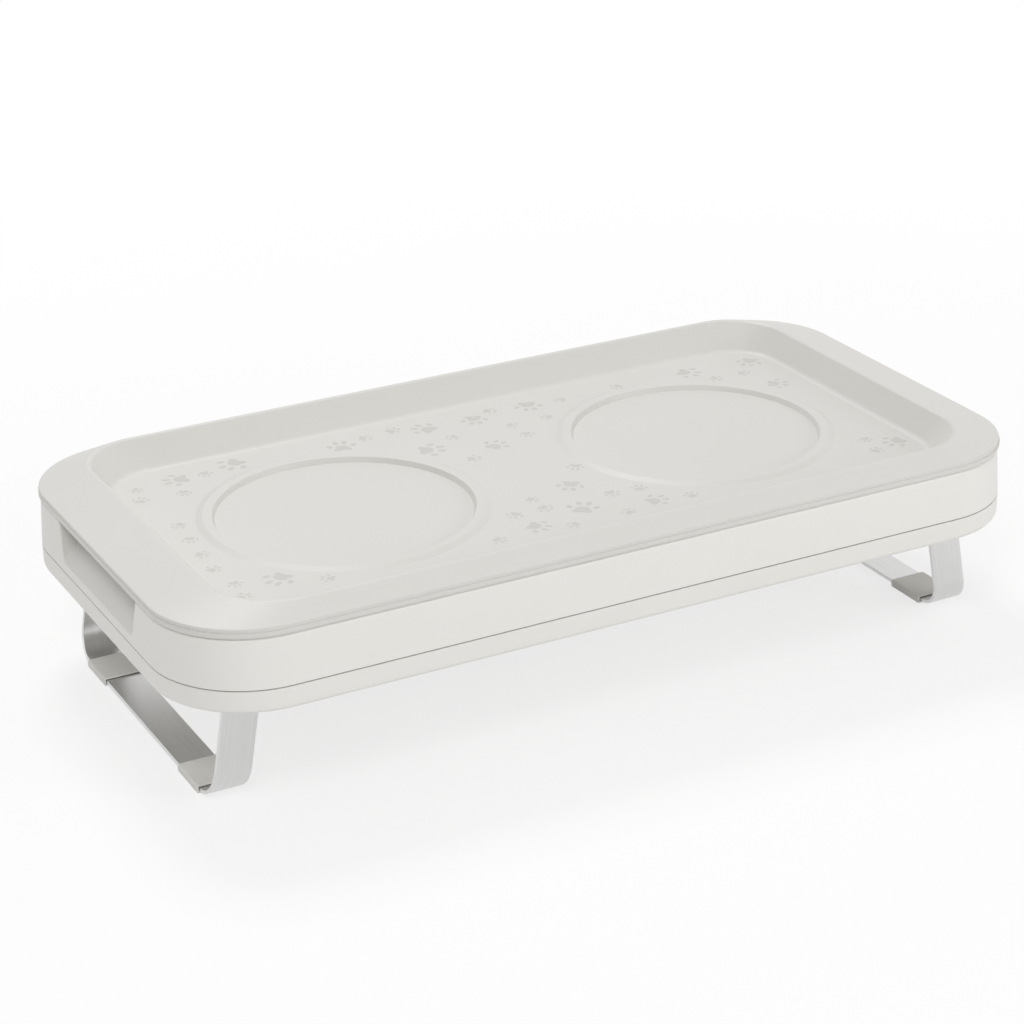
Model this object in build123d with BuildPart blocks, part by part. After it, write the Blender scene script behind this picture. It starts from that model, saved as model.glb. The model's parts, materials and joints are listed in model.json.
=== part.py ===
from build123d import *
import math
import os

# Overall form of the feeder. X runs along it, Y across it, and the floor is at Z = 0.
length = 500.0
width = 262.0
corner_radius = 53.5
leg_height = 62.0
band_height = 12.4
casing_height = 27.6

# Upper casing
wall = 2.4
draft_inset = 1.6
reveal = 0.7
casing_edge_radius = 2.2
rim_end_width = 30.0
rim_side_width = 20.5
well_corner_radius = 34.0
well_depth = 8.8
well_end_run = 9.0
well_side_run = 6.0
well_foot_radius = 6.0
well_edge_radius = 1.6
rib_seat_gap = 0.55
rib_width = 1.3
rib_height = 2.6

# Finger notches at the two short ends
notch_half_width = 57.0
notch_foot_inset = 5.5
notch_foot_radius = 6.0
notch_crest_width = 4.5
notch_crest_drop = 1.0
notch_crest_radius = 4.0
notch_lip_height = 5.3
notch_edge_radius = 1.0

# Lower shell
shell_edge_radius = 3.0
shell_floor = 2.2
tongue_height = 4.0
tongue_width = 1.3
tongue_clearance = 0.15
pocket_side_room = 4.0
pocket_wall = 1.8
pocket_top_gap = 0.5
pocket_swing_room = 4.2
rib_grid_height = 8.0
rib_grid_thickness = 1.6
rib_grid_pitch = 60.0
rib_grid_margin = 27.0

# Tray
tray_margin = 0.5
tray_wall = 2.0
lip_height = 5.0
lip_wall = 2.2
lip_top_band = 2.0
lip_step = 0.5
lip_top_radius = 0.7
lip_foot_radius = 1.2
tray_rest_gap = 0.2
ridge_rise = 7.3
ridge_end_inset = 31.0
ridge_side_inset = 13.2
ridge_corner_radius = 35.5
ridge_radius = 2.5
pan_end_gap = 10.0
pan_side_gap = 6.5
pan_floor_gap = 3.3
pan_corner_gap = 4.0
pan_foot_radius = 4.0
pan_wall_share = 0.5
seat_end_inset = 141.0
bowl_ledge_radius = 75.4
bowl_ledge_width = 5.0
bowl_ledge_height = 1.4
bowl_ledge_skirt = 3.6
bowl_ledge_rounding = 0.6
bowl_recess_depth = 1.5
bowl_wall_slope = 1.4

# Folding legs
strap_width = 20.0
strap_thickness = 2.0
strap_bend_radius = 17.0
strap_edge_radius = 0.35
leg_side_inset = 33.0
leg_end_inset = 42.1
leg_lean = 10.0
fold_clearance = 1.2
stop_gap = 0.3
sleeve_wall = 1.3
sleeve_length = 26.5
sleeve_corner_radius = 1.1
sleeve_end_radius = 0.5
sleeve_seat_clearance = 0.05
sleeve_mouth_gap = 0.4

# Hinges
pin_radius = 3.0
pin_running_clearance = 0.06
pin_seat_clearance = 0.03
pin_head_radius = 5.0
pin_head_height = 1.8
pin_blind_depth = 6.0
pin_point_chamfer = 0.5
hinge_play = 0.2
hinge_boss_radius = 7.5
hinge_boss_wall = 1.7
washer_radius = 6.5
washer_thickness = 1.0
bracket_thickness = 6.0
bracket_half_width = 7.5
bracket_foot_thickness = 3.0
bracket_foot_depth = 20.5
bracket_gusset_reach = 9.0
bracket_gusset_drop = 4.5
bracket_gusset_thickness = 3.0
bracket_screw_spacing = 8.0
bracket_screw_margin = 5.0

# Screws
screw_radius = 1.6
screw_thread_bite = 0.1
screw_hole_clearance = 0.2
screw_head_radius = 3.2
screw_head_height = 1.8
screw_length = 14.0
screw_boss_radius = 4.2
screw_socket_wall = 1.6
screw_socket_height = 10.0
screw_head_recess = 5.7
end_screw_inset = 14.0
end_screw_notch_gap = 17.0
side_screw_inset = 11.0
side_screw_seat_offset = 29.0
bracket_screw_radius = 1.5
bracket_screw_head_radius = 2.6
bracket_screw_head_height = 1.4
overshoot = 5.0

# Levels and places that follow from the sizes above
sides = (1, -1)
rows = (1, -1)
shell_bottom = leg_height
parting = shell_bottom + band_height
casing_bottom = parting + reveal
casing_top = parting + casing_height
casing_rise = casing_top - casing_bottom
draft = math.degrees(math.atan(draft_inset / casing_rise))
well_half_length = length / 2 - rim_end_width
well_half_width = width / 2 - rim_side_width
well_floor = casing_top - well_depth
seat_x = length / 2 - seat_end_inset
ledge_inner = bowl_ledge_radius - bowl_ledge_width
rib_inner = ledge_inner + rib_seat_gap
crest_x = well_half_length + notch_crest_width
crest_z = casing_top - notch_crest_drop
notch_foot_z = parting + notch_lip_height
notch_slope = math.atan((crest_z - notch_foot_z) / (length / 2 - crest_x))
lip_bottom = casing_top + tray_rest_gap
lip_top = lip_bottom + lip_height
ridge_z = lip_top + ridge_rise
tray_floor = well_floor + pan_floor_gap + tray_wall
lean = math.tan(math.radians(leg_lean))
pocket_ceiling = well_floor - wall - pocket_top_gap - pocket_wall
pivot_x = length / 2 - leg_end_inset
pivot_z = pocket_ceiling - strap_width / 2 - sleeve_wall - fold_clearance
strap_half_band = strap_width / 2 * math.cos(math.radians(leg_lean))
strap_half_span = width / 2 - leg_side_inset
strap_bottom = sleeve_wall
run_x = pivot_x + (pivot_z - strap_bottom - strap_thickness / 2) * lean
swing_radius = math.hypot(run_x + strap_width / 2 + sleeve_wall - pivot_x, pivot_z)
pocket_inner_x = pivot_x - swing_radius - pocket_swing_room
pocket_half_width = strap_half_span + pocket_side_room
bracket_face = strap_half_span - strap_thickness - 2 * hinge_play - washer_thickness
bracket_back = bracket_face - bracket_thickness
boss_face = strap_half_span + stop_gap
pin_tip = boss_face + pin_blind_depth
boss_back = pin_tip + hinge_play + hinge_boss_wall
end_screw_x = length / 2 - end_screw_inset
end_screw_y = notch_half_width + end_screw_notch_gap
side_screw_x = seat_x - side_screw_seat_offset
side_screw_y = width / 2 - side_screw_inset
screw_places = [
    (side * x, row * y)
    for side in sides
    for row in rows
    for x, y in ((end_screw_x, end_screw_y), (side_screw_x, side_screw_y))
]
screw_boss_bottom = shell_bottom + screw_socket_height
bracket_screw_x = (pivot_x - bracket_screw_spacing / 2, pivot_x + bracket_screw_spacing / 2)
bracket_screw_y = bracket_face - bracket_foot_depth + bracket_screw_margin
bracket_screw_places = [
    (side * x, row * bracket_screw_y) for side in sides for row in rows for x in bracket_screw_x
]

os.makedirs("parts", exist_ok=True)


def save(piece, node):
    """Labels a finished piece with its name and writes it."""
    piece.label = node
    export_step(piece, f"parts/{node}.step")


def outline(height, inset):
    """The plan outline at a height, drawn in by an inset."""
    with BuildSketch(Plane.XY.offset(height)) as plan:
        RectangleRounded(length - 2 * inset, width - 2 * inset, corner_radius - inset)
    return plan.sketch


def section(height, half_length, half_width, radius):
    """A rounded rectangle at a height."""
    with BuildSketch(Plane.XY.offset(height)) as plan:
        RectangleRounded(2 * half_length, 2 * half_width, radius)
    return plan.sketch


def well_section(height, grow):
    """The well's plan outline at a height, on its sloping walls, grown by a wall."""
    rise = (height - casing_top) / well_depth
    return section(
        height,
        well_half_length + well_end_run * rise + grow,
        well_half_width + well_side_run * rise + grow,
        well_corner_radius + grow,
    )


def well_space(bottom, top, grow):
    """The space of the well between two heights, grown by a wall."""
    with BuildPart() as space:
        add(well_section(bottom, grow))
        add(well_section(top, grow))
        loft(ruled=True)
    return space.part


def notch_space(side, grow):
    """The space that one finger notch takes from the casing, grown by a wall."""
    start_x = well_half_length - well_end_run - overshoot
    shoulder_x = crest_x - grow * math.tan(notch_slope / 2)
    shoulder_z = crest_z - grow
    end_x = length / 2 + overshoot
    end_z = shoulder_z - (end_x - shoulder_x) * math.tan(notch_slope)
    top_z = casing_top + overshoot
    splay = notch_foot_inset / (casing_top - notch_foot_z)
    foot = notch_half_width - notch_foot_inset + grow
    mouth = notch_half_width + splay * overshoot + grow
    foot_z = notch_foot_z - grow
    mouth_z = casing_top + overshoot - grow
    with BuildPart() as space:
        with BuildSketch(Plane.XZ) as profile:
            with BuildLine():
                Polyline(
                    (side * start_x, shoulder_z),
                    (side * shoulder_x, shoulder_z),
                    (side * end_x, end_z),
                    (side * end_x, top_z),
                    (side * start_x, top_z),
                    close=True,
                )
            make_face()
            shoulder = profile.vertices().sort_by_distance((side * shoulder_x, shoulder_z))[0]
            fillet(shoulder, notch_crest_radius + grow)
        extrude(amount=width / 2, both=True)
        with BuildSketch(Plane.YZ) as mouth_shape:
            with BuildLine():
                Polyline((-foot, foot_z), (foot, foot_z), (mouth, mouth_z), (-mouth, mouth_z), close=True)
            make_face()
            fillet(mouth_shape.vertices().group_by(Axis.Y)[0], notch_foot_radius + grow)
        extrude(amount=length, both=True, mode=Mode.INTERSECT)
    return space.part


def bounds_notch(edge):
    """Whether an edge of the casing is where a notch breaks through its end or its top."""
    box = edge.bounding_box()
    near_middle = max(box.max.Y, -box.min.Y) < notch_half_width + wall / 2
    on_end = min(abs(box.min.X), abs(box.max.X)) > length / 2 - draft_inset - 1.1 * casing_edge_radius
    on_top = box.min.Z > casing_top - notch_crest_drop / 2
    beyond_well = max(abs(box.min.X), abs(box.max.X)) > crest_x
    return near_middle and beyond_well and (on_end or on_top)


# Upper casing: a drafted hood with a well in its top and a notch in each end
with BuildPart() as well:
    add(well_space(well_floor, casing_top + overshoot, 0.0))
    fillet(well.faces().sort_by(Axis.Z)[0].edges(), well_foot_radius)

with BuildPart() as casing_inside:
    skirt_inset = wall - overshoot * math.tan(math.radians(draft))
    cavity_rise = overshoot + casing_rise - wall
    extrude(outline(casing_bottom - overshoot, skirt_inset), amount=cavity_rise, taper=draft)
    add(well_space(well_floor - wall, casing_top, wall), mode=Mode.SUBTRACT)
    for side in sides:
        add(notch_space(side, wall), mode=Mode.SUBTRACT)

with BuildPart() as upper_casing:
    extrude(outline(casing_bottom, 0.0), amount=casing_rise, taper=draft)
    add(well.part, mode=Mode.SUBTRACT)
    rims = upper_casing.faces().sort_by(Axis.Z)[-1]
    fillet(rims.outer_wire().edges(), casing_edge_radius)
    rims = upper_casing.faces().filter_by(Axis.Z).sort_by(Axis.Z)[-1]
    fillet(rims.inner_wires()[0].edges(), well_edge_radius)
    for side in sides:
        add(notch_space(side, 0.0), mode=Mode.SUBTRACT)
    fillet(upper_casing.edges().filter_by(bounds_notch), notch_edge_radius)
    add(casing_inside.part, mode=Mode.SUBTRACT)
    with BuildSketch(Plane.XY.offset(well_floor)):
        with GridLocations(2 * seat_x, 0, 2, 1):
            Circle(rib_inner + rib_width)
            Circle(rib_inner, mode=Mode.SUBTRACT)
    extrude(amount=rib_height)
    with BuildSketch(Plane.XY.offset(screw_boss_bottom)):
        with Locations(*screw_places):
            Circle(screw_boss_radius)
    extrude(amount=casing_top - wall - screw_boss_bottom)
    with BuildSketch(Plane.XY.offset(screw_boss_bottom)):
        with Locations(*screw_places):
            Circle(screw_radius + screw_thread_bite)
    extrude(amount=screw_length, mode=Mode.SUBTRACT)
save(upper_casing.part, "upper_casing")


def pocket_outline(side, grow, bottom, ceiling):
    """The side view of a leg pocket, whose outer face leans with the leg."""
    inner = pocket_inner_x - grow
    outer_reach = pivot_x + strap_width / 2 + stop_gap + grow
    with BuildSketch(Plane.XZ) as profile:
        with BuildLine():
            Polyline(
                (side * inner, bottom),
                (side * (outer_reach + (pivot_z - bottom) * lean), bottom),
                (side * (outer_reach + (pivot_z - ceiling) * lean), ceiling),
                (side * inner, ceiling),
                close=True,
            )
        make_face()
    return profile.sketch


def hinge_plane(side, row, reach):
    """The plane square to one hinge's axis, at a distance from the middle, facing out."""
    return Plane(origin=(side * pivot_x, row * reach, pivot_z), x_dir=(1, 0, 0), z_dir=(0, row, 0))


# Lower shell: a shallow pan that closes the casing, with a pocket for each folded leg
tongue_outer = wall + tongue_clearance
tongue_inner = tongue_outer + tongue_width
socket_radius = screw_head_radius + screw_hole_clearance + screw_socket_wall
mid_floor = shell_bottom + shell_floor / 2
with BuildPart() as lower_shell:
    extrude(outline(shell_bottom, 0.0), amount=band_height)
    fillet(lower_shell.faces().sort_by(Axis.Z)[0].edges(), shell_edge_radius)
    extrude(outline(parting, tongue_outer), amount=tongue_height, taper=draft)
    hollow = band_height - shell_floor
    extrude(outline(shell_bottom + shell_floor, tongue_inner), amount=hollow, mode=Mode.SUBTRACT)
    extrude(outline(parting, tongue_inner), amount=tongue_height, taper=draft, mode=Mode.SUBTRACT)
    with BuildSketch(Plane.XY.offset(mid_floor)):
        with GridLocations(rib_grid_pitch, 0, 3, 1):
            Rectangle(rib_grid_thickness, width - 2 * rib_grid_margin)
        with GridLocations(0, rib_grid_pitch, 1, 3):
            Rectangle(2 * pocket_inner_x, rib_grid_thickness)
    extrude(amount=rib_grid_height)
    for side in sides:
        housing = pocket_outline(side, pocket_wall, mid_floor, pocket_ceiling + pocket_wall)
        extrude(housing, amount=pocket_half_width + pocket_wall, both=True)
    with BuildSketch(Plane.XY.offset(mid_floor)):
        with Locations(*screw_places):
            Circle(socket_radius)
    extrude(amount=screw_boss_bottom - mid_floor)
    for side in sides:
        for row in rows:
            with BuildSketch(hinge_plane(side, row, pocket_half_width)):
                Circle(hinge_boss_radius)
            extrude(amount=boss_back - pocket_half_width)
    for side in sides:
        pocket = pocket_outline(side, 0.0, shell_bottom - overshoot, pocket_ceiling)
        extrude(pocket, amount=pocket_half_width, both=True, mode=Mode.SUBTRACT)
    for side in sides:
        for row in rows:
            with BuildSketch(hinge_plane(side, row, boss_face)):
                Circle(hinge_boss_radius)
            extrude(amount=pocket_half_width + pocket_wall / 2 - boss_face)
            with BuildSketch(hinge_plane(side, row, boss_face)):
                Circle(pin_radius + pin_seat_clearance)
            extrude(amount=pin_blind_depth + hinge_play, mode=Mode.SUBTRACT)
    with BuildSketch(Plane.XY.offset(shell_bottom)):
        with Locations(*screw_places):
            Circle(screw_head_radius + screw_hole_clearance)
    extrude(amount=screw_head_recess + screw_head_height, mode=Mode.SUBTRACT)
    with BuildSketch(Plane.XY.offset(shell_bottom)):
        with Locations(*screw_places):
            Circle(screw_radius + screw_hole_clearance)
    extrude(amount=screw_socket_height, mode=Mode.SUBTRACT)
    with BuildSketch(Plane.XY.offset(pocket_ceiling - overshoot)):
        with Locations(*bracket_screw_places):
            Circle(bracket_screw_radius + pin_seat_clearance)
    extrude(amount=2 * overshoot, mode=Mode.SUBTRACT)
save(lower_shell.part, "lower_shell")


def ridge_section(height, grow):
    """The plan of the tray's ridge at a height, grown by a wall."""
    return section(
        height,
        length / 2 - ridge_end_inset + grow,
        width / 2 - ridge_side_inset + grow,
        ridge_corner_radius + grow,
    )


def rim_body(drop):
    """The tray's rim, which rises from its lip to its ridge, filled in below and lowered by a drop."""
    with BuildPart() as body:
        extrude(outline(lip_bottom, tray_margin + lip_step), amount=lip_height - drop)
        add(outline(lip_top - drop, tray_margin + lip_step))
        add(ridge_section(ridge_z - drop, 0.0))
        loft(ruled=True)
    return body.part


def pan(grow):
    """The tray's hollow, or with a wall's growth its outer body."""
    slack = pan_wall_share * grow
    floor_length = well_half_length - pan_end_gap + slack
    floor_width = well_half_width - pan_side_gap + slack
    radius = well_corner_radius - pan_corner_gap + slack
    with BuildPart() as body:
        add(section(tray_floor - grow, floor_length, floor_width, radius))
        add(ridge_section(ridge_z - grow, grow))
        loft(ruled=True)
        fillet(body.faces().sort_by(Axis.Z)[0].edges(), pan_foot_radius + grow)
    return body.part


# Tray: a lip, a rim that rises to a rounded ridge, a pan that drops into the well, two bowl seats
lip_step_z = lip_top - lip_top_band
ledge_z = tray_floor + bowl_ledge_height
recess_z = tray_floor - bowl_recess_depth
recess_radius = ledge_inner - bowl_wall_slope
skirt_radius = bowl_ledge_radius + bowl_ledge_skirt
seat_outer = skirt_radius + tray_wall / 2
with BuildPart() as rim_hollow:
    add(rim_body(tray_wall))
    extrude(
        outline(lip_bottom, tray_margin + lip_wall),
        amount=ridge_z - lip_bottom,
        mode=Mode.INTERSECT,
    )

with BuildPart() as tray:
    extrude(outline(lip_bottom, tray_margin), amount=lip_step_z - lip_bottom)
    fillet(tray.faces().sort_by(Axis.Z)[0].edges(), lip_foot_radius)
    add(rim_body(0.0))
    add(rim_hollow.part, mode=Mode.SUBTRACT)
    add(pan(tray_wall))
    add(pan(0.0), mode=Mode.SUBTRACT)
    ridge = tray.edges().group_by(Axis.Z)[-1]
    fillet(ridge, ridge_radius)
    lip_edge = [edge for edge in tray.edges() if abs(edge.center().Z - lip_top) < lip_step / 2]
    fillet(lip_edge, lip_top_radius)
    for side in sides:
        middle = side * seat_x
        with BuildSketch(Plane.XY.offset(tray_floor - tray_wall - overshoot)):
            with Locations((middle, 0)):
                Circle(seat_outer)
        extrude(amount=tray_wall + 2 * overshoot, mode=Mode.SUBTRACT)
        with BuildSketch(Plane.XZ) as seat:
            with BuildLine():
                Polyline(
                    (middle, recess_z),
                    (middle + recess_radius, recess_z),
                    (middle + ledge_inner, ledge_z),
                    (middle + bowl_ledge_radius, ledge_z),
                    (middle + skirt_radius, tray_floor),
                    (middle + seat_outer, tray_floor),
                    (middle + seat_outer, tray_floor - tray_wall),
                    (middle + seat_outer - tray_wall, tray_floor - tray_wall),
                    (middle + bowl_ledge_radius, ledge_z - tray_wall),
                    (middle + ledge_inner + tray_wall / 2, ledge_z - tray_wall),
                    (middle + recess_radius + tray_wall / 2, recess_z - tray_wall),
                    (middle, recess_z - tray_wall),
                    close=True,
                )
            make_face()
            fillet(seat.vertices().group_by(Axis.Y)[-1], bowl_ledge_rounding)
        revolve(axis=Axis((middle, 0, 0), (0, 0, 1)))
save(tray.part, "tray")


# Folding leg: a flat steel strap bent to a U, leaning out as it goes down
strap_top = pivot_z + strap_width
with BuildPart() as strap:
    with BuildSketch(Plane.YZ.offset(pivot_x - strap_width)):
        with BuildLine():
            FilletPolyline(
                (-strap_half_span, strap_top),
                (-strap_half_span, strap_bottom),
                (strap_half_span, strap_bottom),
                (strap_half_span, strap_top),
                radius=strap_bend_radius,
            )
            FilletPolyline(
                (strap_half_span - strap_thickness, strap_top),
                (strap_half_span - strap_thickness, strap_bottom + strap_thickness),
                (strap_thickness - strap_half_span, strap_bottom + strap_thickness),
                (strap_thickness - strap_half_span, strap_top),
                radius=strap_bend_radius - strap_thickness,
            )
            Line((strap_half_span, strap_top), (strap_half_span - strap_thickness, strap_top))
            Line((strap_thickness - strap_half_span, strap_top), (-strap_half_span, strap_top))
        make_face()
    extrude(amount=2 * strap_width + pivot_z * lean)
    across_x = strap_half_band * math.cos(math.radians(leg_lean))
    across_z = strap_half_band * math.sin(math.radians(leg_lean))
    foot_x = pivot_x + pivot_z * lean
    with BuildSketch(Plane.XZ):
        with BuildLine():
            Polyline(
                (pivot_x + across_x, pivot_z + across_z),
                (foot_x + strap_width / 2, 0.0),
                (foot_x - strap_width / 2, 0.0),
                (pivot_x - across_x, pivot_z - across_z),
                close=True,
            )
        make_face()
        with Locations((pivot_x, pivot_z)):
            Circle(strap_half_band)
    extrude(amount=width / 2, both=True, mode=Mode.INTERSECT)
    fillet(strap.edges(), strap_edge_radius)
    with BuildSketch(Plane.XZ):
        with Locations((pivot_x, pivot_z)):
            Circle(pin_radius + pin_running_clearance)
    extrude(amount=width / 2, both=True, mode=Mode.SUBTRACT)

# Foot sleeve: a moulded sleeve round the strap, with a slot a little taller than the strap
sleeve_end = strap_half_span - strap_bend_radius
sleeve_height = strap_thickness + 2 * sleeve_wall
sleeve_width = strap_width + 2 * sleeve_wall
slot_bottom = strap_bottom - sleeve_seat_clearance
slot_top = strap_bottom + strap_thickness + sleeve_mouth_gap
slot_width = strap_width + strap_thickness * lean + 2 * sleeve_seat_clearance
with BuildPart() as sleeve:
    with BuildSketch(Plane.XZ.offset(-sleeve_end)):
        with Locations((run_x, sleeve_height / 2)):
            RectangleRounded(sleeve_width, sleeve_height, sleeve_corner_radius)
    extrude(amount=sleeve_length)
    fillet(sleeve.faces().filter_by(Axis.Y).edges(), sleeve_end_radius)
    with BuildSketch(Plane.XZ.offset(-sleeve_end)):
        with Locations((run_x, (slot_bottom + slot_top) / 2)):
            Rectangle(slot_width, slot_top - slot_bottom)
    extrude(amount=sleeve_length, mode=Mode.SUBTRACT)

# Hinge bracket: an upright bearing plate on a foot that is screwed to the pocket's ceiling
foot_bottom = pocket_ceiling - bracket_foot_thickness
with BuildPart() as bracket:
    upright = pocket_ceiling - pivot_z
    with BuildSketch(hinge_plane(1, 1, bracket_back)):
        Circle(bracket_half_width)
        with Locations((0, -upright / 2)):
            Rectangle(2 * bracket_half_width, upright)
    extrude(amount=bracket_thickness)
    with BuildSketch(Plane.XY.offset(foot_bottom)):
        with Locations((pivot_x, bracket_face - bracket_foot_depth / 2)):
            Rectangle(2 * bracket_half_width, bracket_foot_depth)
    extrude(amount=bracket_foot_thickness)
    with BuildSketch(Plane.YZ.offset(pivot_x - bracket_gusset_thickness / 2)):
        with BuildLine():
            Polyline(
                (bracket_back, foot_bottom),
                (bracket_back, foot_bottom - bracket_gusset_drop),
                (bracket_back - bracket_gusset_reach, foot_bottom),
                close=True,
            )
        make_face()
    extrude(amount=bracket_gusset_thickness)
    with BuildSketch(hinge_plane(1, 1, bracket_back)):
        Circle(pin_radius + pin_seat_clearance)
    extrude(amount=bracket_thickness, mode=Mode.SUBTRACT)
    with BuildSketch(Plane.XY.offset(foot_bottom)):
        with Locations(*[(x, bracket_screw_y) for x in bracket_screw_x]):
            Circle(bracket_screw_radius + pin_seat_clearance)
    extrude(amount=bracket_foot_thickness, mode=Mode.SUBTRACT)

# Hinge pin: a headed pin through the bracket, the washer and the strap into the shell's boss
with BuildPart() as pin:
    with BuildSketch(hinge_plane(1, 1, bracket_back - pin_head_height)):
        Circle(pin_head_radius)
    extrude(amount=pin_head_height)
    with BuildSketch(hinge_plane(1, 1, bracket_back)):
        Circle(pin_radius)
    extrude(amount=pin_tip - bracket_back)
    chamfer(pin.faces().sort_by(Axis.Y)[-1].edges(), pin_point_chamfer)

# Hinge washer: keeps the strap off the bracket
with BuildPart() as washer:
    with BuildSketch(hinge_plane(1, 1, bracket_face + hinge_play)):
        Circle(washer_radius)
        Circle(pin_radius + 2 * pin_running_clearance, mode=Mode.SUBTRACT)
    extrude(amount=washer_thickness)


def placed(piece, side_name, row_name):
    """A copy of a piece of the right leg's far row, mirrored to its own side and row."""
    with BuildPart() as copy:
        add(piece)
        if side_name == "left":
            mirror(about=Plane.YZ, mode=Mode.REPLACE)
        if row_name == "near":
            mirror(about=Plane.XZ, mode=Mode.REPLACE)
    return copy.part


for side_name in ("left", "right"):
    save(placed(strap.part, side_name, "far"), f"{side_name}_leg_strap")
    for row_name in ("near", "far"):
        corner = f"{side_name}_{row_name}"
        save(placed(sleeve.part, side_name, row_name), f"{corner}_foot_sleeve")
        save(placed(bracket.part, side_name, row_name), f"{corner}_hinge_bracket")
        save(placed(pin.part, side_name, row_name), f"{corner}_hinge_pin")
        save(placed(washer.part, side_name, row_name), f"{corner}_hinge_washer")

# Casing screws: they go up through the shell's sockets into the casing's bosses
screw_seat = shell_bottom + screw_head_recess + screw_head_height
with BuildPart() as casing_screws:
    with BuildSketch(Plane.XY.offset(screw_seat - screw_head_height)):
        with Locations(*screw_places):
            Circle(screw_head_radius)
    extrude(amount=screw_head_height)
    with BuildSketch(Plane.XY.offset(screw_seat)):
        with Locations(*screw_places):
            Circle(screw_radius)
    extrude(amount=screw_length)
save(casing_screws.part, "casing_screws")

# Bracket screws: they hold the bracket feet to the pocket ceilings
with BuildPart() as bracket_screws:
    with BuildSketch(Plane.XY.offset(foot_bottom - bracket_screw_head_height)):
        with Locations(*bracket_screw_places):
            Circle(bracket_screw_head_radius)
    extrude(amount=bracket_screw_head_height)
    with BuildSketch(Plane.XY.offset(foot_bottom)):
        with Locations(*bracket_screw_places):
            Circle(bracket_screw_radius)
    extrude(amount=bracket_foot_thickness + pocket_wall)
save(bracket_screws.part, "bracket_screws")
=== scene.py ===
import json
import math

import bmesh
import bpy
from mathutils import Matrix, Vector


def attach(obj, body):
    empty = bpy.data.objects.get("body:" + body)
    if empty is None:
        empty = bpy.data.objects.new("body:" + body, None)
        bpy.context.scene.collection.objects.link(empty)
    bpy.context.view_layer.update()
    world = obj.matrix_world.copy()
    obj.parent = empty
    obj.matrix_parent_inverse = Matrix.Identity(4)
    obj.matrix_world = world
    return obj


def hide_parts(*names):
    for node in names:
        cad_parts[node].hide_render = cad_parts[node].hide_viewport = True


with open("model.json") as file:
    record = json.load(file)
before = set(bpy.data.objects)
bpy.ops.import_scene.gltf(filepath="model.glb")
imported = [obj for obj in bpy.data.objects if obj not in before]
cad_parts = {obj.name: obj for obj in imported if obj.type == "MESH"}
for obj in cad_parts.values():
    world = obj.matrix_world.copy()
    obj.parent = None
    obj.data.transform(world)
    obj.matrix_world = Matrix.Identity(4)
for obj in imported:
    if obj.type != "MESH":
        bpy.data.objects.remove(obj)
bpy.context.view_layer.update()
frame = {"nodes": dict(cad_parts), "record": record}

# Lengths are in metres and angles in degrees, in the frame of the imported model
MM = 0.001

# The camera, as fitted to the photograph
camera_azimuth = -27.39
camera_elevation = 23.63
camera_roll = -1.16
camera_distance = 1.5098
camera_aim = Vector((0.0047, 0.0260, 0.0620))
camera_focal_pixels = 2681.0
frame_pixels = 1024

# The surroundings are plain white to look at, and this bright as a light
surroundings_light = 0.48

# The soft lights: name, azimuth, elevation, distance, size and watts
softboxes = [
    ("key_softbox", -38.0, 48.0, 2.2, 0.6, 9.0),
    ("back_softbox", 176.0, 60.0, 2.2, 0.7, 15.5),
    ("low_front_softbox", 34.0, 20.0, 2.4, 1.0, 13.0),
]

# The pale floor: its size, its greys as a light and to look at, the share of its white that
# shines by itself near the object, and where that share starts to rise and where it is whole
floor_size = 12.0
floor_grey_as_light = 0.92
floor_grey_seen = 0.98
floor_glow = 0.70
glow_starts = 0.35
glow_full = 0.90

# How light each finish is, as a linear grey
tray_level = 0.69
casing_level = 0.815
shell_level = 0.81
sleeve_level = 0.82
pin_level = 0.58
washer_level = 0.66
bracket_level = 0.70
screw_level = 0.55

# Moulded plastic: a cloudy, speckled tone between a darker and a lighter one, under a dry grain
plastic_warmth = 0.062
nylon_warmth = 0.08
plastic_cloud = 45.0 * MM
plastic_speckle = 2.2 * MM
plastic_grain = 0.6 * MM
plastic_cloud_share = 0.7
plastic_dark, plastic_light = 0.975, 1.02
plastic_dark_warmth, plastic_light_warmth = 1.12, 0.88
plastic_roughness = 0.40
plastic_cloud_roughness = 0.08
plastic_grain_roughness = 0.06
plastic_grain_depth = 0.022 * MM
plastic_specular = 0.5

# The tray's floor, which carries the prints round its two bowl seats and is bare in the middle
seat_x = 109.0 * MM
seat_radius = 80.0 * MM
tray_floor_level = 98.5 * MM
tray_floor_half_length = 206.0 * MM
tray_floor_half_width = 100.0 * MM
tray_floor_corner = 26.0 * MM
bare_middle_radius = 22.0 * MM

# The prints, large and small. They stray from an even grid by a share of its spacing, differ in
# size, and keep their middles a share of their radius inside the open floor.
large_print_spacing = 37.0 * MM
large_print_radius = 9.3 * MM
small_print_spacing = 20.0 * MM
small_print_radius = 5.1 * MM
print_stray = 0.46
smallest_print, print_size_range = 0.88, 0.24
print_margin_share = 0.74
room_round_large_print = 10.0 * MM
print_edge_softness = 0.3 * MM
print_height_tolerance = 0.3 * MM

# How a print differs from the bare plastic: darker, smoother and a little sunken
print_level_share = 0.85
print_warmth = 0.07
print_roughness_drop = 0.08
print_depth = 0.1 * MM

# A paw that is 1 in radius, as ovals that are the same on both sides: centre, radii and turn
paw_ovals = [
    ((0.0, -0.22), (0.42, 0.36), 0.0),
    ((0.26, -0.46), (0.30, 0.22), -16.0),
    ((0.74, 0.06), (0.15, 0.23), -26.0),
    ((0.27, 0.56), (0.16, 0.25), -9.0),
]

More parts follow.
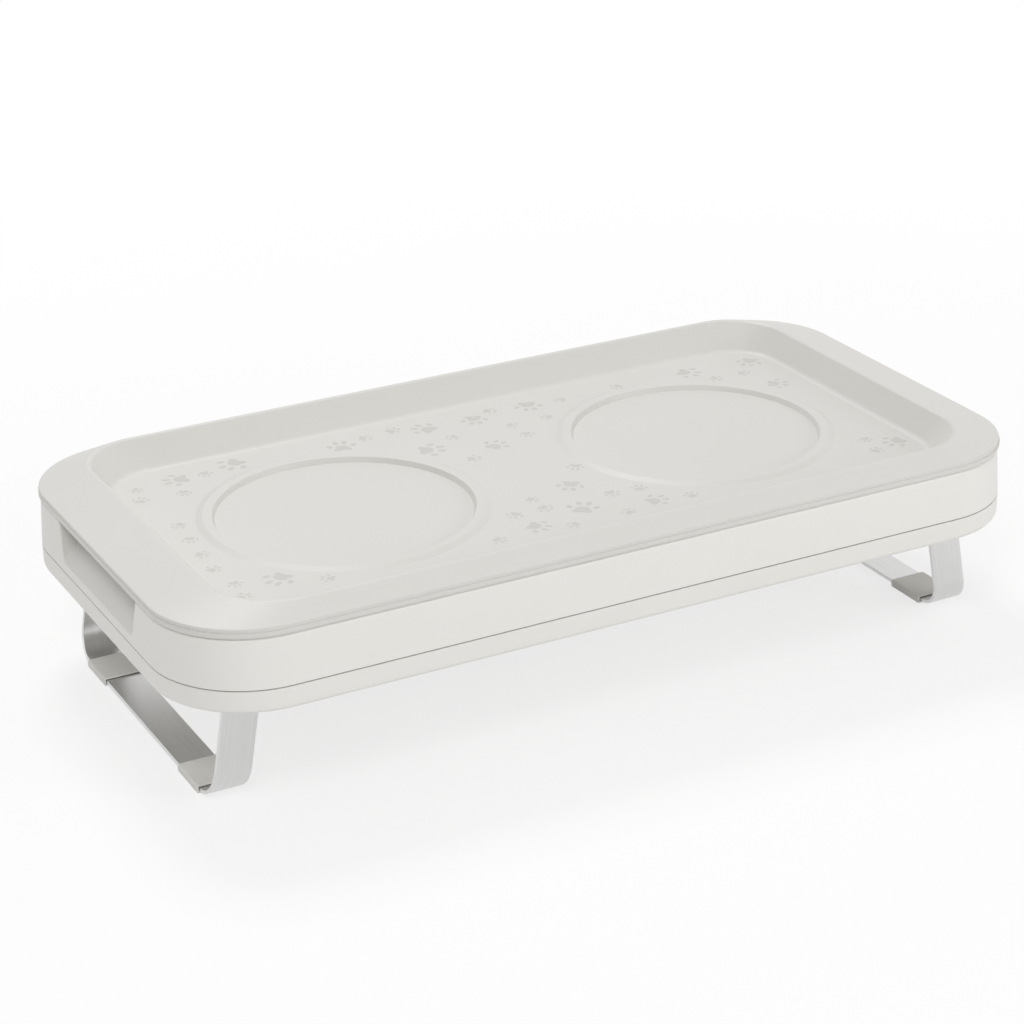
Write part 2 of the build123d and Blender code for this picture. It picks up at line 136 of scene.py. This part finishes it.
# Strap steel: fine and coarse streaks, drawn out along the strap, which leans as it goes down
leg_lean = 10.0
streak_stretch = 0.012
fine_streak = 0.25 * MM
coarse_streak = 1.3 * MM
fine_streak_share = 0.6
strap_cloud = 30.0 * MM
strap_dark, strap_light = 0.54, 0.82
strap_warmth = 0.01
strap_roughness = 0.21
strap_streak_roughness = 0.15
strap_cloud_roughness = 0.06
steel_grain_depth = 0.008 * MM

# Turned steel of the pins and screws
pin_roughness = 0.26
pin_grain = 0.4 * MM
screw_roughness = 0.3
screw_grain = 0.5 * MM
turned_cloud = 6.0 * MM
turned_grain_share = 0.5
turned_dark, turned_light = 0.85, 1.1
turned_grain_roughness = 0.12

# Rubber of the foot sleeves
rubber_pebble = 0.7 * MM
rubber_cloud = 12.0 * MM
rubber_dark, rubber_light = 0.95, 1.04
rubber_dark_warmth, rubber_light_warmth = 0.065, 0.05
rubber_roughness = 0.58
rubber_pebble_roughness = 0.12
rubber_pebble_depth = 0.04 * MM
rubber_specular = 0.4

# The screws' sizes and places in millimetres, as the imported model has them. Each place stands
# for four, mirrored in X and in Y.
casing_screw = {
    "head_radius": 3.2, "head_height": 1.8, "radius": 1.6, "length": 14.0, "seat": 69.5,
}
bracket_screw = {
    "head_radius": 2.6, "head_height": 1.4, "radius": 1.5, "length": 4.8, "seat": 85.5,
}
casing_screw_places = [(236.0, 74.0), (80.0, 120.0)]
bracket_screw_places = [(203.9, 79.2), (211.9, 79.2)]

# A screw's form: its head's sides, the rounding of the head and the depth of the recess as shares
# of the head's height, the recess's length and width as shares of the head's radius, the recess's
# taper, the point's taper, and the turn from one screw to the next
head_sides = 40
head_rounding = 0.42
rounding_steps = 5
rounding_fullness = 0.6
recess_depth = 0.62
recess_length = 1.15
recess_width = 0.27
recess_taper = 0.62
point_taper = 0.45
turn_between_screws = 37.0
smooth_angle = 35.0
nearly_level = 0.9


class Field:
    """A socket of a material, which arithmetic turns into Math nodes."""

    def __init__(self, nodes, socket):
        self.nodes = nodes
        self.socket = socket

    def sibling(self, output):
        """Another output of the same node."""
        return Field(self.nodes, self.socket.node.outputs[output])

    def __add__(self, other):
        return self.nodes.maths("ADD", self, other)

    __radd__ = __add__

    def __sub__(self, other):
        return self.nodes.maths("SUBTRACT", self, other)

    def __rsub__(self, other):
        return self.nodes.maths("SUBTRACT", other, self)

    def __mul__(self, other):
        return self.nodes.maths("MULTIPLY", self, other)

    __rmul__ = __mul__

    def __truediv__(self, other):
        return self.nodes.maths("DIVIDE", self, other)

    def __gt__(self, other):
        return self.nodes.maths("GREATER_THAN", self, other)

    def __lt__(self, other):
        return self.nodes.maths("LESS_THAN", self, other)

    def __abs__(self):
        return self.nodes.maths("ABSOLUTE", self)

    def clamped(self):
        """The value held between 0 and 1."""
        return self.nodes.node("ShaderNodeClamp", {}, {"Value": self})


class Nodes:
    """The node tree of one material, or of the world."""

    def __init__(self, owner):
        owner.use_nodes = True
        self.owner = owner
        self.tree = owner.node_tree
        self.tree.nodes.clear()

    def node(self, kind, settings, inputs, output=0):
        """A node with its settings made first and its sockets filled or linked."""
        made = self.tree.nodes.new(kind)
        for key, value in settings.items():
            setattr(made, key, value)
        for key, value in inputs.items():
            if isinstance(value, Field):
                self.tree.links.new(value.socket, made.inputs[key])
            else:
                made.inputs[key].default_value = value
        return Field(self, made.outputs[output]) if made.outputs else None

    def maths(self, operation, *values):
        return self.node("ShaderNodeMath", {"operation": operation}, dict(enumerate(values)))

    def vector_maths(self, operation, *values):
        return self.node("ShaderNodeVectorMath", {"operation": operation}, dict(enumerate(values)))

    def distance(self, u, v):
        """How far a point is from the middle of a plane."""
        return self.maths("SQRT", u * u + v * v)

    def place(self):
        """The point of the surface in the object's own frame."""
        return self.node("ShaderNodeTexCoord", {}, {}, "Object")

    def axes(self, vector):
        """The three parts of a vector."""
        split = self.node("ShaderNodeSeparateXYZ", {}, {"Vector": vector})
        return split, split.sibling("Y"), split.sibling("Z")

    def noise(self, vector, size, detail=2.0, roughness=0.5):
        """Noise whose lumps are about as large as a size in metres."""
        inputs = {"Vector": vector, "Scale": 1.0 / size, "Detail": detail, "Roughness": roughness}
        return self.node("ShaderNodeTexNoise", {}, inputs, "Fac")

    def shares(self, first, second, share):
        """Two values added up, the first by a share and the second by the rest."""
        return first * share + second * (1.0 - share)

    def blend(self, factor, first, second):
        """A colour between two, by a factor."""
        inputs = {0: factor, 6: first, 7: second}
        return self.node("ShaderNodeMix", {"data_type": "RGBA"}, inputs, 2)

    def bump(self, height, depth, **below):
        """A bump whose full height is a depth in metres, over another normal if one is given."""
        inputs = dict(below, Height=height, Distance=depth, Strength=1.0)
        return self.node("ShaderNodeBump", {}, inputs, "Normal")

    def finish(self, inputs):
        """Ends a material in one principled shader."""
        shader = self.node("ShaderNodeBsdfPrincipled", {}, inputs, "BSDF")
        self.node("ShaderNodeOutputMaterial", {}, {"Surface": shader})
        return self.owner


def new_material(name):
    return Nodes(bpy.data.materials.new(name))


def grey(level, warmth=0.0):
    """A grey of a linear level, with a little less green and less blue the warmer it is."""
    return (level, level * (1.0 - 0.25 * warmth), level * (1.0 - warmth), 1.0)


def plastic_inputs(nodes, level, warmth=plastic_warmth):
    """The look of fine eroded moulded plastic: faint mottling, a dry grain and a cloudy sheen."""
    place = nodes.place()
    cloud = nodes.noise(place, plastic_cloud, detail=3.0)
    speckle = nodes.noise(place, plastic_speckle)
    grain = nodes.noise(place, plastic_grain, detail=3.0, roughness=0.65)
    tone = nodes.shares(cloud, speckle, plastic_cloud_share).clamped()
    darker = grey(level * plastic_dark, warmth * plastic_dark_warmth)
    lighter = grey(level * plastic_light, warmth * plastic_light_warmth)
    uneven = plastic_roughness + cloud * plastic_cloud_roughness + grain * plastic_grain_roughness
    return {
        "Base Color": nodes.blend(tone, darker, lighter),
        "Roughness": uneven,
        "Normal": nodes.bump(grain, plastic_grain_depth),
        "Specular IOR Level": plastic_specular,
    }


def moulded_plastic(name, level, warmth=plastic_warmth):
    nodes = new_material(name)
    return nodes.finish(plastic_inputs(nodes, level, warmth))


def oval(nodes, u, v, centre, radii, turn):
    """How far outside an oval a point is, below 0 inside it, in the print's own units."""
    c, s = math.cos(math.radians(turn)), math.sin(math.radians(turn))
    across = u - centre[0]
    along = v - centre[1]
    p = (across * c + along * s) / radii[0]
    q = (along * c - across * s) / radii[1]
    return (nodes.distance(p, q) - 1.0) * min(radii)


def paw_shape(nodes, u, v):
    """How far outside a paw a point is: a broad pad under four toes."""
    side = abs(u)
    first, *others = [oval(nodes, side, v, *shape) for shape in paw_ovals]
    nearest = first
    for other in others:
        nearest = nodes.maths("MINIMUM", nearest, other)
    return nearest


def open_floor(nodes, x, y, margin):
    """1 where a print with its middle there lies on the tray's bare floor, and 0 elsewhere."""
    across = abs(x)
    up = abs(y)
    clear_of_seat = nodes.distance(across - seat_x, y) > seat_radius + margin
    straight_length = tray_floor_half_length - tray_floor_corner
    straight_width = tray_floor_half_width - tray_floor_corner
    corner = nodes.maths("MAXIMUM", across - straight_length, 0.0)
    side = nodes.maths("MAXIMUM", up - straight_width, 0.0)
    inside = nodes.distance(corner, side) < tray_floor_corner - margin
    clear_of_middle = nodes.distance(x, y) > bare_middle_radius + margin
    return clear_of_seat * inside * clear_of_middle


def paw_prints(nodes, place, spacing, radius, larger=None):
    """Scattered prints as a mask, each turned its own way and clear of the larger ones, if any.

    The grid that the prints stray from comes with it, for smaller ones to keep clear of.
    """
    cells = {"voronoi_dimensions": "2D", "feature": "F1"}
    grid = {"Vector": place, "Scale": 1.0 / spacing, "Randomness": print_stray}
    middle = nodes.node("ShaderNodeTexVoronoi", cells, grid, "Position")
    turn, chance, _ = nodes.axes(middle.sibling("Color"))
    offset = nodes.vector_maths("SUBTRACT", place, middle)
    turned = nodes.node(
        "ShaderNodeVectorRotate",
        {"rotation_type": "Z_AXIS"},
        {"Vector": offset, "Angle": turn * 2.0 * math.pi},
    )
    u, v, _ = nodes.axes(turned)
    size = radius * (smallest_print + chance * print_size_range)
    outside = paw_shape(nodes, u / size, v / size) * size
    mask = (0.5 - outside / print_edge_softness).clamped()
    x, y, _ = nodes.axes(middle)
    shown = open_floor(nodes, x, y, radius * print_margin_share)
    if larger:
        # The distance is in cells of the larger grid, as its node gives it
        gap = nodes.node("ShaderNodeTexVoronoi", cells, dict(larger, Vector=middle), "Distance")
        shown = shown * (gap > (radius + room_round_large_print) * larger["Scale"])
    return mask * shown, grid


def printed_tray_plastic(name, level):
    """The tray's plastic, with smoother and slightly sunken paw prints on its floor."""
    nodes = new_material(name)
    inputs = plastic_inputs(nodes, level)
    place = nodes.place()
    large, grid = paw_prints(nodes, place, large_print_spacing, large_print_radius)
    small, _ = paw_prints(nodes, place, small_print_spacing, small_print_radius, grid)
    _, _, z = nodes.axes(place)
    on_floor = abs(z - tray_floor_level) < print_height_tolerance
    prints = nodes.maths("MAXIMUM", large, small) * on_floor
    print_colour = grey(level * print_level_share, print_warmth)
    inputs["Base Color"] = nodes.blend(prints, inputs["Base Color"], print_colour)
    inputs["Roughness"] = inputs["Roughness"] - prints * print_roughness_drop
    inputs["Normal"] = nodes.bump(1.0 - prints, print_depth, Normal=inputs["Normal"])
    return nodes.finish(inputs)


def brushed_strap_steel(name):
    """Satin steel, brushed along the strap, which leans outward as it goes down."""
    nodes = new_material(name)
    place = nodes.place()
    x, y, z = nodes.axes(place)
    across = abs(x) + z * math.tan(math.radians(leg_lean))
    drawn_out = {"X": across, "Y": y * streak_stretch, "Z": z * streak_stretch}
    stretched = nodes.node("ShaderNodeCombineXYZ", {}, drawn_out)
    fine = nodes.noise(stretched, fine_streak, detail=3.0, roughness=0.6)
    coarse = nodes.noise(stretched, coarse_streak)
    cloud = nodes.noise(place, strap_cloud)
    streaks = nodes.shares(fine, coarse, fine_streak_share)
    darker, lighter = grey(strap_dark, strap_warmth), grey(strap_light, strap_warmth)
    uneven = strap_roughness + streaks * strap_streak_roughness + cloud * strap_cloud_roughness
    return nodes.finish({
        "Base Color": nodes.blend(streaks.clamped(), darker, lighter),
        "Metallic": 1.0,
        "Roughness": uneven,
        "Normal": nodes.bump(streaks, steel_grain_depth),
    })


def turned_steel(name, level, roughness, grain):
    """Plain bright steel with a fine uneven grain."""
    nodes = new_material(name)
    place = nodes.place()
    lines = nodes.noise(place, grain, detail=3.0, roughness=0.6)
    cloud = nodes.noise(place, turned_cloud)
    tone = nodes.shares(lines, cloud, turned_grain_share).clamped()
    return nodes.finish({
        "Base Color": nodes.blend(tone, grey(level * turned_dark), grey(level * turned_light)),
        "Metallic": 1.0,
        "Roughness": roughness + lines * turned_grain_roughness,
        "Normal": nodes.bump(lines, steel_grain_depth),
    })


def dry_rubber(name, level):
    """Off-white rubber with a fine pebbled skin."""
    nodes = new_material(name)
    place = nodes.place()
    pebbles = nodes.noise(place, rubber_pebble)
    cloud = nodes.noise(place, rubber_cloud)
    darker = grey(level * rubber_dark, rubber_dark_warmth)
    lighter = grey(level * rubber_light, rubber_light_warmth)
    return nodes.finish({
        "Base Color": nodes.blend(cloud, darker, lighter),
        "Roughness": rubber_roughness + pebbles * rubber_pebble_roughness,
        "Normal": nodes.bump(pebbles, rubber_pebble_depth),
        "Specular IOR Level": rubber_specular,
    })


def seen_directly(nodes):
    """1 for the camera, in reflections and through glass, and 0 for rays that light things."""
    camera = nodes.node("ShaderNodeLightPath", {}, {}, "Is Camera Ray")
    either = nodes.maths("MAXIMUM", camera, camera.sibling("Is Glossy Ray"))
    return nodes.maths("MAXIMUM", either, camera.sibling("Is Transmission Ray"))


def pale_floor_material(name):
    """A white floor that keeps the object's shadow and can't be seen from below."""
    nodes = new_material(name)
    seen = seen_directly(nodes)
    colour = nodes.blend(seen, grey(floor_grey_as_light), grey(floor_grey_seen))
    x, y, _ = nodes.axes(nodes.place())
    away = ((nodes.distance(x, y) - glow_starts) / (glow_full - glow_starts)).clamped()
    shining = away * (1.0 - floor_glow) + floor_glow
    matt = nodes.node("ShaderNodeBsdfDiffuse", {}, {"Color": colour})
    glow = nodes.node("ShaderNodeEmission", {}, {"Color": grey(1.0), "Strength": 1.0})
    lit = nodes.node("ShaderNodeMixShader", {}, {0: seen * shining, 1: matt, 2: glow})
    clear = nodes.node("ShaderNodeBsdfTransparent", {}, {})
    below = nodes.node("ShaderNodeNewGeometry", {}, {}, "Backfacing")
    shader = nodes.node("ShaderNodeMixShader", {}, {0: below, 1: lit, 2: clear})
    nodes.node("ShaderNodeOutputMaterial", {}, {"Surface": shader})
    return nodes.owner


def white_surroundings():
    """A world that is white to the camera and in reflections, and softer as a light."""
    nodes = Nodes(bpy.data.worlds.new("white_surroundings"))
    strength = seen_directly(nodes) * (1.0 - surroundings_light) + surroundings_light
    background = nodes.node("ShaderNodeBackground", {}, {"Color": grey(1.0), "Strength": strength})
    nodes.node("ShaderNodeOutputWorld", {}, {"Surface": background})
    bpy.context.scene.world = nodes.owner


def direction(azimuth, elevation):
    """The way from the object towards a camera or lamp at an azimuth and an elevation."""
    a, e = math.radians(azimuth), math.radians(elevation)
    return Vector((math.sin(a) * math.cos(e), -math.cos(a) * math.cos(e), math.sin(e)))


def add_camera():
    """A camera where the photograph's was."""
    back = direction(camera_azimuth, camera_elevation)
    level_right = Vector((0.0, 0.0, 1.0)).cross(back).normalized()
    roll = Matrix.Rotation(math.radians(camera_roll), 3, back)
    right = roll @ level_right
    up = back.cross(right)
    data = bpy.data.cameras.new("photo_camera")
    data.lens = camera_focal_pixels / frame_pixels * data.sensor_width
    camera = bpy.data.objects.new("photo_camera", data)
    bpy.context.scene.collection.objects.link(camera)
    turn = Matrix((right, up, back)).transposed().to_4x4()
    camera.matrix_world = Matrix.Translation(back * camera_distance + camera_aim) @ turn
    bpy.context.scene.camera = camera


def add_softbox(name, azimuth, elevation, distance, size, watts):
    """A square soft light that faces the middle of the object."""
    data = bpy.data.lights.new(name, "AREA")
    data.shape = "SQUARE"
    data.size = size
    data.energy = watts
    lamp = bpy.data.objects.new(name, data)
    bpy.context.scene.collection.objects.link(lamp)
    out = direction(azimuth, elevation)
    lamp.location = out * distance
    lamp.rotation_mode = "QUATERNION"
    lamp.rotation_quaternion = out.to_track_quat("Z", "Y")


def add_floor():
    bpy.ops.object.select_all(action="DESELECT")
    bpy.ops.mesh.primitive_plane_add(size=floor_size)
    floor = bpy.context.active_object
    floor.name = "pale_floor"
    floor.data.materials.append(pale_floor_material("pale_floor"))


def faces_up(face):
    return face.normal.z > nearly_level


def faces_down(face):
    return face.normal.z < -nearly_level


def select_faces(mesh, wanted):
    """In edit mode, selects just the faces that a test picks."""
    bpy.ops.mesh.select_mode(type="FACE")
    bpy.ops.mesh.select_all(action="DESELECT")
    shape = bmesh.from_edit_mesh(mesh)
    for face in shape.faces:
        face.select_set(wanted(face))
    shape.select_flush_mode()
    bmesh.update_edit_mesh(mesh)


def cross_cutter(radius, bottom, depth):
    """Two crossed wedges, narrower as they go up into the head, that cut its driver recess."""
    wedges = []
    for turn in (0.0, math.radians(90.0)):
        bpy.ops.object.select_all(action="DESELECT")
        bpy.ops.mesh.primitive_cube_add(
            size=1.0, location=(0.0, 0.0, bottom), rotation=(0.0, 0.0, turn)
        )
        wedge = bpy.context.active_object
        wedge.scale = (recess_length * radius, recess_width * radius, 2.0 * depth)
        bpy.ops.object.transform_apply(location=True, rotation=True, scale=True)
        bpy.ops.object.mode_set(mode="EDIT")
        select_faces(wedge.data, faces_up)
        bpy.ops.transform.resize(
            value=(recess_taper, recess_taper, 1.0), center_override=(0.0, 0.0, bottom + depth)
        )
        bpy.ops.object.mode_set(mode="OBJECT")
        wedges.append(wedge)
    return wedges


def one_screw(sizes):
    """A pan head screw on the Z axis, head down, with its recess cut and its point tapered."""
    head, height = sizes["head_radius"] * MM, sizes["head_height"] * MM
    seat, shank = sizes["seat"] * MM, sizes["radius"] * MM
    bottom = seat - height
    bpy.ops.object.select_all(action="DESELECT")
    bpy.ops.mesh.primitive_cylinder_add(
        vertices=head_sides, radius=head, depth=height, location=(0.0, 0.0, seat - height / 2)
    )
    screw = bpy.context.active_object
    bpy.ops.object.transform_apply(location=True, rotation=True, scale=True)
    bpy.ops.object.mode_set(mode="EDIT")
    select_faces(screw.data, faces_down)
    bpy.ops.mesh.bevel(
        offset=height * head_rounding,
        offset_type="OFFSET",
        segments=rounding_steps,
        profile=rounding_fullness,
        affect="EDGES",
    )
    select_faces(screw.data, faces_up)
    bpy.ops.mesh.inset(thickness=head - shank)
    bpy.ops.mesh.extrude_region_move(
        TRANSFORM_OT_translate={"value": (0.0, 0.0, sizes["length"] * MM - shank)}
    )
    bpy.ops.mesh.extrude_region_move(TRANSFORM_OT_translate={"value": (0.0, 0.0, shank)})
    bpy.ops.transform.resize(
        value=(point_taper, point_taper, 1.0), center_override=(0.0, 0.0, seat)
    )
    bpy.ops.object.mode_set(mode="OBJECT")
    for wedge in cross_cutter(head, bottom, height * recess_depth):
        cut = screw.modifiers.new("recess", "BOOLEAN")
        cut.object = wedge
        cut.operation = "DIFFERENCE"
        cut.solver = "EXACT"
        bpy.context.view_layer.objects.active = screw
        bpy.ops.object.modifier_apply(modifier=cut.name)
        bpy.data.objects.remove(wedge)
    bpy.ops.object.select_all(action="DESELECT")
    screw.select_set(True)
    bpy.context.view_layer.objects.active = screw
    bpy.ops.object.shade_smooth_by_angle(angle=math.radians(smooth_angle))
    return screw


def screw_set(name, sizes, places, node):
    """One screw copied to each of its mirrored places, as one piece that stands for a node."""
    first = one_screw(sizes)
    copies = []
    for x, y in places:
        for side in (1, -1):
            for row in (1, -1):
                copy = first.copy()
                copy.data = first.data.copy()
                angle = math.radians(turn_between_screws * len(copies))
                turn = Matrix.Rotation(angle, 4, "Z")
                move = Matrix.Translation((side * x * MM, row * y * MM, 0.0))
                copy.data.transform(move @ turn)
                bpy.context.scene.collection.objects.link(copy)
                copies.append(copy)
    bpy.data.objects.remove(first)
    bpy.ops.object.select_all(action="DESELECT")
    for copy in copies:
        copy.select_set(True)
    bpy.context.view_layer.objects.active = copies[0]
    bpy.ops.object.join()
    piece = bpy.context.active_object
    piece.name = name
    piece.data.materials.clear()
    piece.data.materials.append(finishes["screw_steel"])
    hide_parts(node)
    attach(piece, "base")


bpy.context.scene.view_settings.view_transform = "Standard"
add_camera()
white_surroundings()
for softbox in softboxes:
    add_softbox(*softbox)
add_floor()

finishes = {
    "tray_plastic": printed_tray_plastic("tray_plastic", tray_level),
    "casing_plastic": moulded_plastic("casing_plastic", casing_level),
    "shell_plastic": moulded_plastic("shell_plastic", shell_level),
    "leg_steel": brushed_strap_steel("leg_steel"),
    "sleeve_rubber": dry_rubber("sleeve_rubber", sleeve_level),
    "pin_steel": turned_steel("pin_steel", pin_level, pin_roughness, pin_grain),
    "washer_plastic": moulded_plastic("washer_plastic", washer_level, nylon_warmth),
    "bracket_plastic": moulded_plastic("bracket_plastic", bracket_level),
    "screw_steel": turned_steel("screw_steel", screw_level, screw_roughness, screw_grain),
}
for part in frame["record"]["subparts"]:
    materials = frame["nodes"][part["node"]].data.materials
    materials.clear()
    materials.append(finishes[part["material_slot"]])

screw_set("casing_screw_set", casing_screw, casing_screw_places, "casing_screws")
screw_set("bracket_screw_set", bracket_screw, bracket_screw_places, "bracket_screws")
